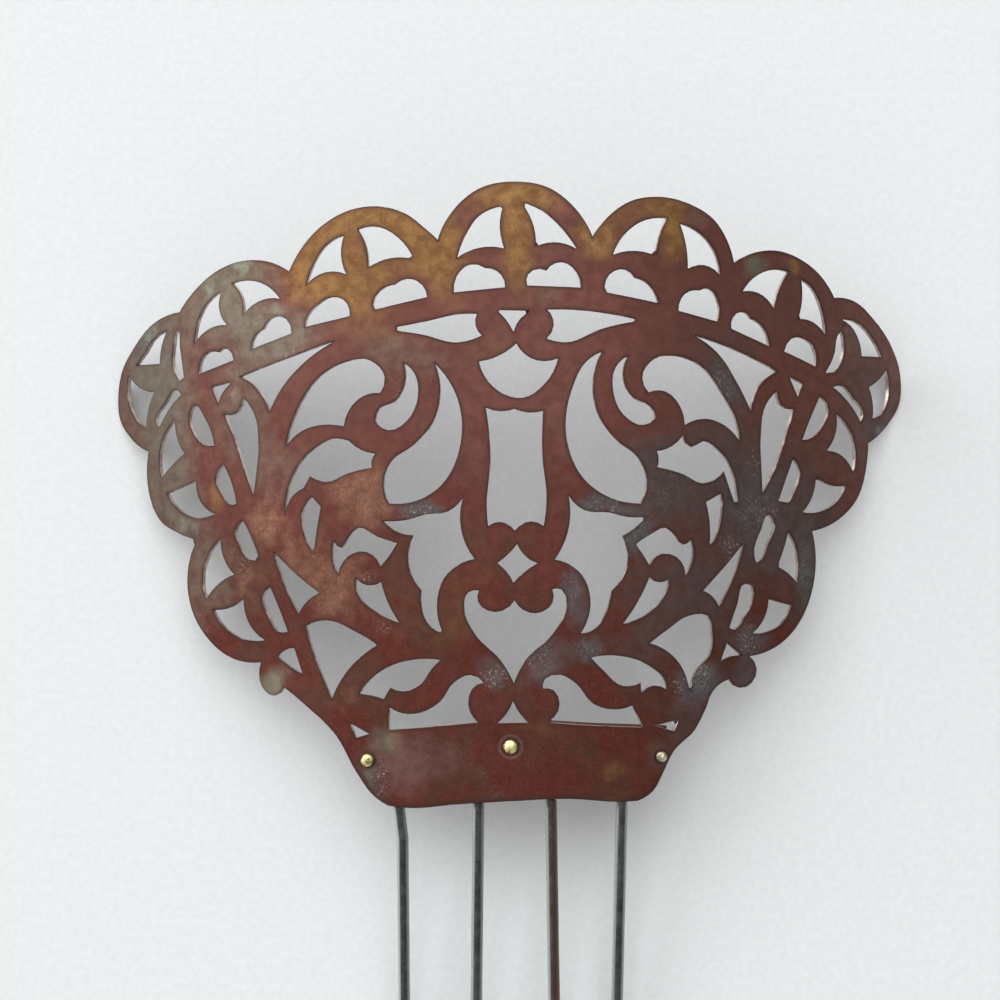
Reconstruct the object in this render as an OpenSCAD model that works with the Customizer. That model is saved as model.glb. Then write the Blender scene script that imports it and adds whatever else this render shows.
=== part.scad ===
// Bent, pierced hair comb: a scalloped crest sheet riveted to a foot strip that carries four wire tines.
// It lies on its hollow side: +Z up, the crest toward +Y, the tines toward -Y, the width along X.
// Positions on the flat sheet are percent shares: across by half_width from the centre line, and up by
// crest_height from the foot of the band. All lengths are in millimetres and all angles in degrees.

/* [Crest sheet] */
// height from the foot of the band to the top scallop
crest_height = 103; // [80:1:130]
// half the width of the sheet before it is bent
half_width = 80; // [60:1:100]
// thickness of the sheet
sheet_t = 0.8; // [0.5:0.1:1.5]
// bend radius of the front face
bend_r = 90; // [70:1:140]
// longest straight piece on a curved cut
cut_step = 1.1; // [0.6:0.1:3]

/* [Foot strip] */
// how far the strip shows above the band on the right
strip_over = 0.3; // [0:0.1:1.5]
// foot of the strip above the foot of the band
strip_lift = 0.6; // [0:0.1:3]
// strip beyond the middle of the outer rivets
strip_end = 1.3; // [1.2:0.1:4]
// thickness of the strip
strip_t = 0.8; // [0.5:0.1:1.5]
// play between pieces that touch
play = 0.03; // [0.02:0.01:0.1]

/* [Tines] */
// wire diameter
wire_d = 2; // [1.2:0.1:3]
// length below the foot of the band
tine_length = 52; // [30:1:80]
// wire tops below the top of the band
wire_short = 2.2; // [1.8:0.1:5]
// drop of the first wire's knee below the foot of the band
knee_drop = 7; // [3:0.5:12]
// how far below the foot of the band the wires' soldered ends are filed thinner
filed_drop = 0.2; // [0.1:0.1:1]
// depth to which the wire is soldered into the strip
solder_sink = 0.15; // [0.1:0.05:0.5]

/* [Rivets] */
// head diameter
head_d = 2.4; // [1.5:0.1:4]
// head height
head_h = 0.9; // [0.4:0.1:2]
// shank diameter
shank_d = 1.2; // [0.8:0.1:1.6]
// how far the hammered tail spreads past the shank
tail_spread = 0.4; // [0.2:0.1:0.8]
// height of the hammered tail
tail_h = 0.5; // [0.2:0.1:1]

/* [Hidden] */
$fn = 48;

copper = [0.45, 0.26, 0.2];
steel = [0.28, 0.28, 0.29];
brass = [0.72, 0.62, 0.36];

// top of the band, where the lowest gaps start
band_top = up(12.5);
wire_top = band_top - wire_short;

// the line of each wire from its top to its tip: across as a share, and height
tines = [
    [[-26.8, wire_top], [-24, -knee_drop], [-23.4, -tine_length]],
    [[-7.3, wire_top], [-8.1, -tine_length]],
    [[7.9, wire_top], [9.2, -tine_length]],
    [[24, wire_top], [22, -tine_length]]
];
// foot of the band where each wire passes it: up
feet = [-1.4, -0.65, -0.1, -0.5];

// top of the strip before strip_over lifts it: hidden on the left, level with the band on the right
strip_top = [
    [-40, 9.2], [-29, 9.2], [-22, 10.7], [-8, 11.9], [0, 12.1], [7.4, 12.5], [17, 12], [27.4, 11.6],
    [40, 11.1]
];
// lower corners of the strip that are cut off, to keep it behind the band
strip_corners = [
    [[-35, 6.5], [-25, -1.5], [-40, -6]],
    [[35, 9.1], [27, -1.5], [42, -6]]
];

// rivets: across, up, share of the head diameter
rivet_left_at = [-30.9, 6.1, 1];
rivet_centre_at = [-0.5, 8.6, 1.05];
rivet_right_at = [31.5, 6.7, 0.85];
rivets = [rivet_left_at, rivet_centre_at, rivet_right_at];

// Rows of a cut: across, up, and 1 at a corner; a row with no third number is passed on a curve.
// Two corners in a row are joined by a straight cut.

// outer edge, left half, from the top scallop to the band: one list a scallop
edge_left = [
    [[49.2, 86.2, 1], [46.5, 89.6], [41, 93.7], [35, 95.9], [29, 96.4], [23, 95.2], [18.5, 92.6],
    [15.8, 90.7, 1]],
    [[79.3, 80.4, 1], [74.5, 84], [68, 87], [60, 88.4], [53.5, 87.8], [49.2, 86.2, 1]],
    [[89.8, 56.8, 1], [97, 59.4], [101.3, 62.7], [102, 66.5], [100.6, 70.5], [95.5, 74.8], [88, 78.8],
    [79.3, 80.4, 1]],
    [[74, 41.8, 1], [80, 43], [86, 45.2], [89.3, 49], [90.4, 53], [89.8, 56.8, 1]],
    [[56.4, 21.6, 1], [64.3, 22.2], [71, 25.4], [75.4, 29.8], [76.9, 35], [74, 41.8, 1]],
    [[50.4, 17.6, 1], [52.8, 16.2], [56, 17.6], [56.8, 19.8], [56.4, 21.6, 1]],
    [[26.5, -1.2, 1], [29.3, 0.1], [33.4, 4], [38, 9.9], [44.5, 14.4], [50.4, 17.6, 1]]
];

// outer edge, right half, in the same order
edge_right = [
    [[16.7, 91.2, 1], [20, 94.5], [25, 97.2], [31, 98], [38, 97], [43.6, 94.6], [46.8, 91.2],
    [48.5, 87.6, 1]],
    [[48.5, 87.6, 1], [52.5, 89.2], [59, 90], [66, 88.7], [71.5, 86.2], [75.5, 82.7, 1]],
    [[75.5, 82.7, 1], [82, 82.3], [88.5, 79.5], [95, 75.2], [98.5, 70.8], [98.6, 65.8], [93.5, 61.4],
    [86.5, 58.2, 1]],
    [[86.5, 58.2, 1], [85.8, 54], [83.4, 49.4], [78, 45.7], [69.3, 43.3, 1]],
    [[69.3, 43.3, 1], [70.3, 38], [69, 33], [64.5, 27.2], [59, 24.1], [52.4, 22.7, 1]],
    [[52.4, 22.7, 1], [54.2, 20.6], [53, 18.3], [50, 17.5], [47.4, 19, 1]],
    [[47.4, 19, 1], [43.3, 17], [41.7, 14.3], [39.2, 10.9], [34.5, 7.6], [32, 4], [29.8, 1.1],
    [26.5, -0.4, 1]]
];

// foot of the band, from right to left
edge_foot = [
    [26.5, -0.4, 1], [22.5, -0.5], [12, 0.1], [0, -0.2], [-12, -0.8], [-21.5, -1.5], [-26.5, -1.2, 1]
];

// outer edge of the top scallop, from left to right
edge_top = [
    [-15.8, 90.7, 1], [-12.5, 95.5], [-7, 99], [0.5, 100.1], [7.5, 99.1], [13, 95.8], [16.7, 91.2, 1]
];

// gaps on the centre line, from the top down
gaps_centre = [
    ["peak", [[-3.4, 79.3, 1], [4, 79.2, 1], [1.6, 78], [0.1, 75.8, 1], [-1.5, 77.8]]],
    ["shield", [[-7.1, 71, 1], [-3, 71.9], [0.7, 73.9, 1], [3.8, 71.5], [9.4, 71.5, 1], [6.5, 67.3],
    [2, 65.1], [-3, 66.2]]],
    ["window", [
        [-5.7, 63.5, 1], [-2.5, 62.9], [0.3, 63.3, 1], [3.3, 62.7], [6.3, 63, 1], [6.1, 56], [7, 48.5],
        [6.4, 44.3, 1],
        [3.8, 45.1], [0.4, 43.5, 1], [-2.7, 45], [-5.2, 44.3, 1], [-5.5, 47.5], [-4.7, 55]
    ]],
    ["diamond", [[0.9, 41.4, 1], [2.3, 39.6], [5.1, 38.3, 1], [2.4, 36.9], [0.1, 35.2, 1], [-1.4, 37],
    [-3.2, 38.3, 1], [-0.7, 40]]],
    ["heart", [
        [0.2, 18.9, 1], [2.5, 22.5], [8.3, 26.9], [11.2, 31.5], [10.2, 34], [8.2, 34.1, 1], [8.3, 32],
        [5, 30.2],
        [0.3, 32.3, 1], [-3.8, 30.4], [-7.3, 32.1], [-7.1, 33.9, 1], [-9.3, 33.6], [-10.2, 31],
        [-8, 26.9], [-2.5, 22.5]
    ]],
    ["foot", [[0, 16, 1], [1.3, 14.1], [2.9, 12.6, 1], [-3, 12.5, 1], [-1.3, 14]]]
];

// gaps of the left half, across counted outward from the centre line
gaps_left = [
    ["bar leaf", [
        [7.6, 78.7, 1], [12, 78.6], [18, 77.6], [24.6, 76.7, 1], [24.5, 76.1, 1], [19, 75.4], [11.5, 74.1],
        [6.6, 75.2, 1], [7.9, 76.8]
    ]],
    ["crescent", [
        [16.4, 70.6, 1], [15.3, 66], [17, 61], [21, 57.5], [26, 54.7], [27.2, 52.8], [26.4, 48, 1],
        [20.5, 48.4],
        [14.2, 51.8], [11.1, 57.5], [11.7, 65]
    ]],
    ["comma", [
        [23, 70.8, 1], [22.9, 67.3], [25, 64.6], [28.3, 63.5], [29.3, 61.6], [26.5, 59.9], [22.5, 61.4],
        [20.1, 65.5], [20.9, 69.2]
    ]],
    ["wing leaf", [
        [28.3, 66, 1], [27.3, 68.5], [30.5, 71.3], [36, 71.1], [42, 68.7], [47, 63.7], [50.3, 57.3, 1],
        [46.5, 59.8],
        [41, 60.9], [36.4, 60.6, 1], [34.6, 63.9], [31.5, 65.7]
    ]],
    ["horn", [
        [29.4, 56.1, 1], [32.5, 56.7], [35.2, 58.2, 1], [38, 58.6], [43.8, 56.7], [48.4, 52.6],
        [50.2, 46.4, 1],
        [48.3, 49.3], [45.8, 50.5, 1], [44.2, 52.5, 1], [40.3, 51.5], [35.5, 52.9], [30.2, 53.8, 1],
        [30.2, 55]
    ]],
    ["long spike", [
        [38.3, 74.6, 1], [61.7, 69.1, 1], [57.3, 67], [54.2, 63.2, 1], [50.5, 67.6], [45.5, 71.2]
    ]],
    ["chip", [[63.8, 68.3, 1], [69.9, 67.5, 1], [68.1, 64.8, 1], [66.4, 66.9]]],
    ["drop", [
        [61, 65.5, 1], [58.3, 62.8], [57.3, 58], [57.8, 53.3], [58.5, 49.3, 1], [60.8, 53.3], [63.4, 58.5],
        [66.4, 62.9, 1], [62.6, 63.3]
    ]],
    ["eye", [[43.8, 49.1, 1], [46.1, 46.3], [45.3, 42.5], [43.3, 39.8, 1], [42.7, 43.3], [41.7, 47.4, 1]]],
    ["hook", [
        [24.7, 41.5, 1], [29, 42.6], [33.3, 44], [35.4, 42.4], [36.8, 40.7], [38.6, 41.8, 1], [39, 39.3],
        [37.7, 36.4, 1], [35.5, 39.3], [31.5, 40.1], [28.3, 37.7, 1], [26.3, 39.5]
    ]],
    ["tall spike", [
        [10.6, 48.8, 1], [13.7, 46.7], [18.5, 46.2], [22.5, 45.3], [27.6, 45.1, 1], [24, 43.2],
        [21, 42.8, 1],
        [22.2, 39.5], [19.3, 33.9, 1], [19.3, 31.5], [17.3, 27.9], [14.7, 26.9, 1], [16, 31.3],
        [14.5, 35.9],
        [8.1, 39, 1], [10.3, 42]
    ]],
    ["cup", [
        [28.1, 35.2, 1], [31, 34.6], [33.6, 35.7, 1], [33.2, 33], [29.5, 30.5], [24, 28.5, 1], [26.7, 32]
    ]],
    ["spike", [[42.1, 33.3, 1], [48.5, 36.9], [52.9, 39.9, 1], [50.2, 34.3], [47, 29.8, 1], [44.8, 32]]],
    ["fan", [
        [28.9, 24.9, 1], [33.7, 27], [40.5, 28.8], [45.3, 27.8, 1], [42, 20.8], [39, 16, 1], [36.2, 20],
        [32.5, 23]
    ]],
    ["leaf", [
        [15.3, 22.6, 1], [21, 22.6], [28, 20.7], [32.8, 16.9, 1], [30, 16.7], [27.4, 16.1, 1], [26, 18, 1],
        [23.3, 17.4], [19.3, 18.8], [17, 21.3]
    ]],
    ["sill", [
        [6.2, 19, 1], [9, 20.2], [12.3, 19], [15.5, 15.7], [19.5, 14], [23.5, 13.9], [26.1, 14.8, 1],
        [26.1, 11.2, 1],
        [16, 11.9], [7.6, 12.6, 1], [9.4, 15.5], [8.6, 18]
    ]],
    ["corner chip", [[30.6, 10.4, 1], [34.7, 12, 1], [33.6, 9.7, 1]]],
    ["neck chip", [[48.1, 24.1, 1], [50.3, 23.8], [52.1, 22.6, 1], [49, 21], [46, 19.8, 1]]],
    ["crest 1 inner", [[2.1, 96.1, 1], [7, 94.6], [10, 91.3], [11.7, 87.8, 1], [7, 89.4], [1.9, 89.3, 1],
    [2.8, 92.5]]],
    ["crest 1 bump", [[1.7, 83, 1], [2.5, 85], [5.8, 86.1, 1], [9, 86.7], [11.9, 84.7], [12.4, 82.2, 1]]],
    ["crest 2 inner", [
        [21, 87.7, 1], [24.3, 91.2], [28.5, 93], [33, 92.7, 1], [31.2, 89.7], [30.8, 86.5, 1], [26, 87.9]
    ]],
    ["crest 2 outer", [
        [36.3, 91.8, 1], [40.3, 90.3], [43.3, 87.2], [45, 84, 1], [40.5, 85.9], [35.9, 85.5, 1], [37, 88.6]
    ]],
    ["crest 2 bump", [
        [18.1, 81.5, 1], [20.2, 84.1], [22.5, 84.5], [25, 83.6, 1], [28.2, 82.7], [29.8, 80.4],
        [29.3, 79.6, 1]
    ]],
    ["crest 2 side bump", [[35.1, 78.6, 1], [36.5, 81.3], [39, 81.8], [42.5, 80.5], [44.8, 78.7],
    [45.3, 77, 1]]],
    ["crest 3 inner", [
        [51.6, 81.8, 1], [55, 84.1], [59, 85], [63.8, 84.7, 1], [61.2, 82.1], [60.9, 79.4, 1], [57, 81.5]
    ]],
    ["crest 3 outer", [
        [67, 83.4, 1], [71, 81.6], [74, 77.9], [74.7, 75, 1], [71.2, 77.1], [65.5, 77.8, 1], [67.7, 80.7]
    ]],
    ["crest 3 bump", [[48.7, 76, 1], [50, 78.4], [52.5, 78.9], [55.6, 76.9, 1], [57.7, 75.9],
    [58.8, 73.6, 1]]],
    ["crest 3 side bump", [[63.8, 71.9, 1], [65.3, 73.8], [68, 73.3, 1], [71.7, 73], [73.4, 69.8, 1]]],
    ["crest 4 inner", [[83.5, 77.3, 1], [88, 76], [91.3, 73.6], [94.3, 71.8, 1], [85.9, 71.8, 1],
    [85.2, 74.9]]],
    ["crest 4 outer", [
        [97.5, 70, 1], [97.7, 66], [95, 62.7], [90.7, 60.9, 1], [90, 64], [87.8, 67, 1], [93, 67.8]
    ]],
    ["crest 4 bump", [[78, 69.3, 1], [79.2, 74.3], [80.1, 77.3], [81, 75], [81.4, 71.5], [79.2, 68.8, 1]]],
    ["crest 4 side bump", [[78.8, 66.4, 1], [80.6, 67.3], [83.5, 65.4], [87, 61.5], [86, 61, 1],
    [82, 64.5]]],
    ["crest 5 inner", [[80.8, 62, 1], [84, 59.8], [85.8, 56.4], [85.2, 52.3, 1], [82, 54.3],
    [77.9, 56.4, 1], [80, 58.8]]],
    ["crest 5 outer", [
        [74.3, 51.8, 1], [78.5, 50.6], [83.3, 49.6, 1], [79.5, 46.9], [74, 45.5], [69, 46.2, 1], [73, 48.2]
    ]],
    ["crest 5 bump", [[69.2, 57.7, 1], [72, 62.4], [74.8, 64.5], [76.3, 62.3], [75.2, 60], [72.3, 57.9]]],
    ["crest 5 side bump", [[63, 47.9, 1], [64.6, 51.8], [66.6, 54.4, 1], [68.6, 51.8], [66.8, 49.3],
    [65.2, 47.9]]],
    ["crest 6 inner", [[67.4, 41.9, 1], [71, 38.8], [72.3, 35.3], [71.2, 32, 1], [67.5, 34.7],
    [63.6, 36.1, 1], [66.6, 39]]],
    ["crest 6 outer", [
        [60.9, 32, 1], [64.5, 30.6], [69.3, 30.1, 1], [66, 27.2], [61, 25.4], [55.3, 25.3, 1], [59.7, 28.3]
    ]],
    ["crest 6 bump", [[56.8, 38.7, 1], [59.3, 42.8], [61.2, 45.1, 1], [63.3, 43], [62, 40.9], [60.4, 39]]],
    ["crest 6 side bump", [[49.7, 26.8, 1], [52.3, 31.5], [54, 34.2, 1], [56, 32.2], [54.3, 29.4],
    [52.2, 26.8]]]
];

// gaps of the right half, across counted outward from the centre line
gaps_right = [
    ["bar leaf", [
        [7.2, 79.4, 1], [14, 79.3], [20, 78.8], [25.7, 78, 1], [25.6, 77.6, 1], [18.5, 76.3], [11, 74.1],
        [7.1, 74.7, 1], [8.6, 76.9]
    ]],
    ["crescent", [
        [18.7, 72.6, 1], [16.8, 68], [17.6, 63], [21.5, 58.5], [26.5, 55.4], [28.2, 52.7], [26.9, 48, 1],
        [21, 48.8],
        [14.6, 52.3], [11.4, 58], [12.2, 66], [16, 71.4]
    ]],
    ["comma", [
        [24.4, 72, 1], [23.3, 68], [25.6, 65.1], [29.2, 63.8], [30.2, 61.9], [27.7, 60.8], [23.3, 62.5],
        [21.1, 66.5], [21.6, 70]
    ]],
    ["wing leaf", [
        [28.9, 66.1, 1], [27.5, 68.4], [30.3, 71.6], [34, 72.1], [40.3, 70.7], [46, 66], [49.1, 61.8],
        [49.9, 58.2, 1], [46.5, 60.8],
        [41.5, 61.9], [37, 60.8, 1], [36, 63.8], [32.5, 66.3]
    ]],
    ["horn", [
        [30.7, 56.5, 1], [34, 57.3], [36.5, 59, 1], [38.5, 57.2], [41.2, 58.2], [45.5, 56.2], [48.9, 50.8],
        [49, 47.3, 1], [46.9, 51.3], [46, 53.3, 1], [41, 51.3], [36.5, 52.8], [30.8, 53.9, 1], [31.1, 55.2]
    ]],
    ["long spike", [
        [39.3, 75.5, 1], [49.5, 73.1], [59.3, 69.9, 1], [55.4, 68], [52.8, 63.2, 1], [49.5, 67.9],
        [44.5, 72.9]
    ]],
    ["chip", [[62.7, 69.1, 1], [66.4, 68, 1], [65, 65.9, 1]]],
    ["drop", [
        [59.3, 66.6, 1], [56.6, 64.4], [55.2, 59], [55.4, 53.7], [55.7, 49.7, 1], [59, 54], [61.8, 59.4],
        [63.9, 63.8, 1], [60.2, 64.4]
    ]],
    ["eye", [[45.3, 49.6, 1], [45.4, 45.7], [44.2, 42.6], [42.7, 41, 1], [42.7, 44.7], [41.8, 48.2, 1]]],
    ["hook", [
        [26.1, 41.3, 1], [29.5, 43], [32.7, 44], [34.7, 42.7], [36.5, 41.2], [38.3, 42.1, 1], [38.8, 39.3],
        [37.1, 36.4, 1], [35.2, 39.2], [32, 39.8], [29.1, 37.9, 1], [27.6, 39.8]
    ]],
    ["tall spike", [
        [11.7, 49.3, 1], [15, 46.9], [20.5, 46.5], [24, 45.8], [28.3, 45.8, 1], [25.5, 43.8],
        [23.1, 42.7, 1],
        [24.3, 39], [20.8, 33.8, 1], [19.7, 30.7], [17.5, 27.8], [14.2, 26.9, 1], [16.3, 31.5],
        [14.5, 36.4],
        [8.8, 38.9, 1], [11.5, 43.2]
    ]],
    ["cup", [
        [29.1, 35.9, 1], [31.3, 35.1], [33.4, 35.6, 1], [32.1, 32.6], [28.5, 30], [23.3, 28.4, 1],
        [27, 32.6]
    ]],
    ["spike", [[41.3, 33.7, 1], [46, 37.3], [51, 41.4, 1], [48.2, 35.4], [45, 31.1, 1], [43.3, 32.8]]],
    ["fan", [
        [29.2, 25.2, 1], [33.2, 27.4], [38, 29.6], [42.2, 29.5], [43.4, 26.4], [42.8, 23.1], [39.8, 20.8],
        [38, 16.8, 1], [36, 21.6]
    ]],
    ["leaf", [
        [16.4, 23, 1], [22.5, 23.2], [29, 21.5], [32.5, 19], [32.8, 17.6, 1], [30, 18.3],
        [27.2, 17.2, 1], [27.1, 18.9, 1],
        [23.3, 18.3], [19.3, 20.7]
    ]],
    ["sill", [
        [6.3, 18, 1], [6.8, 19.6], [10, 20.2], [13.2, 18.8], [17, 15.4], [21.5, 14.5], [25.2, 15.1, 1],
        [27.4, 11.6, 1],
        [17, 12], [7.4, 12.6, 1], [9.8, 15.5], [8.6, 17.7]
    ]],
    ["corner chip", [[30.4, 11.8, 1], [35.4, 12.6, 1], [34.3, 10.8, 1]]],
    ["neck chip", [[46.9, 25, 1], [50.3, 22.9, 1], [48, 22.8], [45.4, 22, 1]]],
    ["crest 1 inner", [[1.6, 96.8, 1], [6, 95.4], [11, 91.8], [13.4, 89.2, 1], [8.5, 90.3],
    [4.8, 89.6, 1], [4, 93.7]]],
    ["crest 1 bump", [[3, 83.3, 1], [3.2, 85.1], [7, 85.7, 1], [10.2, 87.1], [13.3, 85.5], [14.2, 83, 1]]],
    ["crest 2 inner", [
        [21.1, 88.4, 1], [24.3, 92.3], [28, 94.1], [32.6, 94.5, 1], [31, 91.3], [30.3, 88.4, 1],
        [25.8, 89.1]
    ]],
    ["crest 2 outer", [
        [35.8, 93.7, 1], [40.5, 92.1], [43.6, 89.5], [45.1, 85.6, 1], [41.3, 87.1], [37.7, 86.4, 1],
        [37.3, 89.9]
    ]],
    ["crest 2 bump", [
        [19.5, 82.3, 1], [20.3, 85.1], [23.8, 86], [25.8, 84.7, 1], [29, 83.5], [30.9, 80.7, 1]
    ]],
    ["crest 2 side bump", [[35.6, 79.5, 1], [37, 82.2], [40.5, 82.9, 1], [42.7, 83.2], [44.9, 80.7],
    [44.6, 77.9, 1]]],
    ["crest 3 inner", [
        [50.8, 83, 1], [54.5, 85.8], [58.5, 86.8], [62.4, 86.5, 1], [59.7, 83.3], [58.7, 80.3, 1],
        [54.5, 82.9]
    ]],
    ["crest 3 outer", [
        [66, 85.4, 1], [68.9, 84.1], [71.2, 81.5], [72.9, 76.3, 1], [69.4, 78.4], [65.2, 78.8, 1], [66.3, 82]
    ]],
    ["crest 3 bump", [[48, 76.8, 1], [49.3, 79.3], [51.4, 79.5], [52.8, 78.5, 1], [56, 77],
    [57.3, 74.1, 1]]],
    ["crest 3 side bump", [[61.4, 73.3, 1], [63.3, 75.4], [67, 75.5], [69.8, 73.7], [70, 71, 1]]],
    ["crest 4 inner", [[77.9, 79.1, 1], [82.5, 78.7], [87, 76.8], [91.4, 73.1, 1], [84.3, 73.1, 1],
    [81.8, 77.4]]],
    ["crest 4 outer", [
        [93.2, 70.9, 1], [94.2, 67.5], [92.2, 63.9], [88.1, 62.5, 1], [88.1, 65.3], [86.8, 67.8, 1],
        [90, 69]
    ]],
    ["crest 4 bump", [[73, 70, 1], [75.7, 73.4], [76.5, 76.2], [77.5, 77], [78.3, 75.2], [77.9, 72.3],
    [75.5, 70.1, 1]]],
    ["crest 4 side bump", [[75.3, 67.6, 1], [78.3, 67.8], [81.5, 65.8], [84.8, 62.9], [83.9, 61.9, 1],
    [80, 65.1]]],
    ["crest 5 inner", [[76.3, 63, 1], [80, 60.7], [82.2, 56.8], [81.5, 53.2, 1], [78, 56],
    [73.2, 56.8, 1], [75.6, 59.1]]],
    ["crest 5 outer", [
        [70.2, 52.4, 1], [74, 51.1], [79.2, 51, 1], [75.5, 47.8], [71, 46.5], [66.6, 46.5, 1], [69.3, 49.2]
    ]],
    ["crest 5 bump", [[66.3, 58.6, 1], [69, 62.8], [71.3, 65.9, 1], [73.8, 63.7], [72.3, 61.2],
    [69.3, 59.1]]],
    ["crest 5 side bump", [[59.9, 48.4, 1], [61.8, 52], [63.7, 55.4, 1], [65.5, 53.4], [64.5, 50.5],
    [62.5, 48.1, 1]]],
    ["crest 6 inner", [[62.7, 43.3, 1], [64.9, 40], [64.8, 34.9, 1], [62.5, 36.4], [59.7, 37.5, 1],
    [61.5, 40.3]]],
    ["crest 6 outer", [
        [57.3, 32, 1], [63.1, 31, 1], [60.5, 27.9], [57, 26.7], [53.2, 26.5, 1], [56.2, 29]
    ]],
    ["crest 6 bump", [[54.3, 38.2, 1], [53.8, 39.5], [55.5, 43.6], [57.5, 46.1], [59, 44.2],
    [57.3, 41.2], [55.5, 38.6]]],
    ["crest 6 side bump", [[47.5, 27.5, 1], [49.4, 31.2], [51.4, 34.7], [53.2, 34.2], [53.1, 31.7],
    [50.8, 29], [49, 27.2]]]
];

function across(share) = share / 100 * half_width;
function up(share) = share / 100 * crest_height;
function turn_of(along) = along / bend_r * 180 / PI;
function spot(row) = [across(row[0]), up(row[1])];
function unit(v) = v / max(norm(v), 0.0001);
function is_corner(row) = row[2] == 1;
function pick(rows, i) = rows[(i + len(rows)) % len(rows)];
function mirrored(heading, chord) = 2 * (heading * chord) * chord - heading;
function flipped(rows) = [for (row = rows) [-row[0], row[1], row[2]]];

// heading of a curve where it passes row i: that of the circle through the row and its two neighbours
function heading(rows, i) =
    let (
        before = spot(pick(rows, i)) - spot(pick(rows, i - 1)),
        after = spot(pick(rows, i + 1)) - spot(pick(rows, i))
    )
    unit(unit(before) * norm(after) + unit(after) * norm(before));

// heading at one end of the stretch from row here to row there: a corner takes the other end's, mirrored, as
// an arc does
function end_heading(rows, here, there, chord) =
    !is_corner(pick(rows, here)) ? heading(rows, here)
    : !is_corner(pick(rows, there)) ? mirrored(heading(rows, there), chord)
    : chord;

// points of the cut from row i up to, but without, the next row
function stretch(rows, i) =
    let (
        start = spot(pick(rows, i)),
        end = spot(pick(rows, i + 1)),
        span = norm(end - start),
        chord = unit(end - start),
        leave = span * end_heading(rows, i, i + 1, chord),
        arrive = span * end_heading(rows, i + 1, i, chord),
        straight = is_corner(pick(rows, i)) && is_corner(pick(rows, i + 1)),
        steps = straight ? 1 : max(2, round(span / cut_step))
    )
    [for (k = [0 : steps - 1])
        let (t = k / steps, s = 1 - t)
        (1 + 2 * t) * s * s * start + t * s * s * leave + (3 - 2 * t) * t * t * end - t * t * s * arrive];

function closed_cut(rows) = [for (i = [0 : len(rows) - 1]) each stretch(rows, i)];
function open_cut(rows) = concat(
    [for (i = [0 : len(rows) - 2]) each stretch(rows, i)],
    [spot(rows[len(rows) - 1])]
);

function middle_of(points) = (min([for (p = points) p[0]]) + max([for (p = points) p[0]])) / 2;

// cuts a flat outline through the bent sheet, square to it at the given middle; two cuts that share a corner
// cross just above the front face
meet_r = bend_r + sheet_t / 2;
cut_low = 0.64 * bend_r;
cut_high = bend_r + 2 * sheet_t;
module cut_through(outline, middle) {
    rotate([0, turn_of(middle), 0])
        translate([0, 0, cut_low])
            linear_extrude(height = cut_high - cut_low)
                polygon([for (p = outline) [meet_r * sin(turn_of(p[0] - middle)), p[1]]]);
}

module cut_gap(rows) {
    edge = closed_cut(rows);
    cut_through(edge, middle_of(edge));
}

// clears the sheet outside one edge; from each end a side runs out of the notch, and then away from the hub
module clear_outside(rows, start_out, end_out) {
    edge = open_cut(rows);
    first = edge[0] + near * start_out;
    last = edge[len(edge) - 1] + near * end_out;
    start_away = leaned(unit(first - hub), lean);
    end_away = leaned(unit(last - hub), -lean);
    cut_through(concat(
        edge,
        [for (r = away) last + r * end_away],
        [for (k = [len(away) - 1 : -1 : 0]) first + away[k] * start_away]
    ), middle_of(edge));
}

// direction into the open air where one edge ends and the next starts; the air is on the left of the way
function into_air(rows_before, rows_after) =
    let (
        a = open_cut(rows_before),
        b = open_cut(rows_after),
        way = unit(unit(a[len(a) - 1] - a[len(a) - 2]) + unit(b[1] - b[0]))
    )
    [-way[1], way[0]];

function leaned(direction, angle) = [
    direction[0] * cos(angle) - direction[1] * sin(angle),
    direction[0] * sin(angle) + direction[1] * cos(angle)
];

// every edge in turn: the foot, up the left side, over the top and down the right side
edges = concat(
    [edge_foot],
    [for (k = [len(edge_left) - 1 : -1 : 0]) flipped(edge_left[k])],
    [edge_top],
    edge_right
);
// the sides lean this far over their neighbours, turn away from the hub this near the notch, and run this far
lean = 4;
near = across(8);
hub = [0, up(40)];
away = [for (share = [0, 12, 35, 78]) across(share)];

module clear_edge(k) {
    start_out = leaned(into_air(pick(edges, k - 1), edges[k]), lean);
    end_out = leaned(into_air(edges[k], pick(edges, k + 1)), -lean);
    clear_outside(edges[k], start_out, end_out);
}

// the sheet with its edges up to the given one cut, one after the other
module trimmed(k) {
    difference() {
        if (k > 0)
            trimmed(k - 1);
        else
            bent_sheet(across(-104), across(101), up(-3), up(101.5), bend_r, sheet_t);
        clear_edge(k);
    }
}

// places its children on the bent sheet: outward is +Z, up the comb is +Y, and z 0 is the front face
module on_sheet(at) {
    rotate([0, turn_of(across(at[0])), 0])
        translate([0, up(at[1]), bend_r])
            children();
}

// piece of a bent sheet between two flat positions, from a low to a high edge
module bent_sheet(from, to, low, high, outer, thick) {
    rotate([-90, 0, 0])
        rotate([0, 0, -90 + turn_of(from)])
            translate([0, 0, low])
                rotate_extrude(angle = turn_of(to - from), $fn = 360)
                    translate([outer - thick, 0])
                        square([thick, high - low]);
}

module rivet_holes() {
    reach = 2 * (sheet_t + strip_t);
    for (at = rivets)
        on_sheet(at)
            translate([0, 0, -reach])
                cylinder(h = 2 * reach, d = shank_d + 2 * play);
}

module crest_plate_flat() {
    difference() {
        trimmed(len(edges) - 1);
        for (gap = gaps_centre)
            cut_gap(gap[1]);
        for (gap = gaps_left)
            cut_gap(flipped(gap[1]));
        for (gap = gaps_right)
            cut_gap(gap[1]);
        rivet_holes();
    }
}

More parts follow.
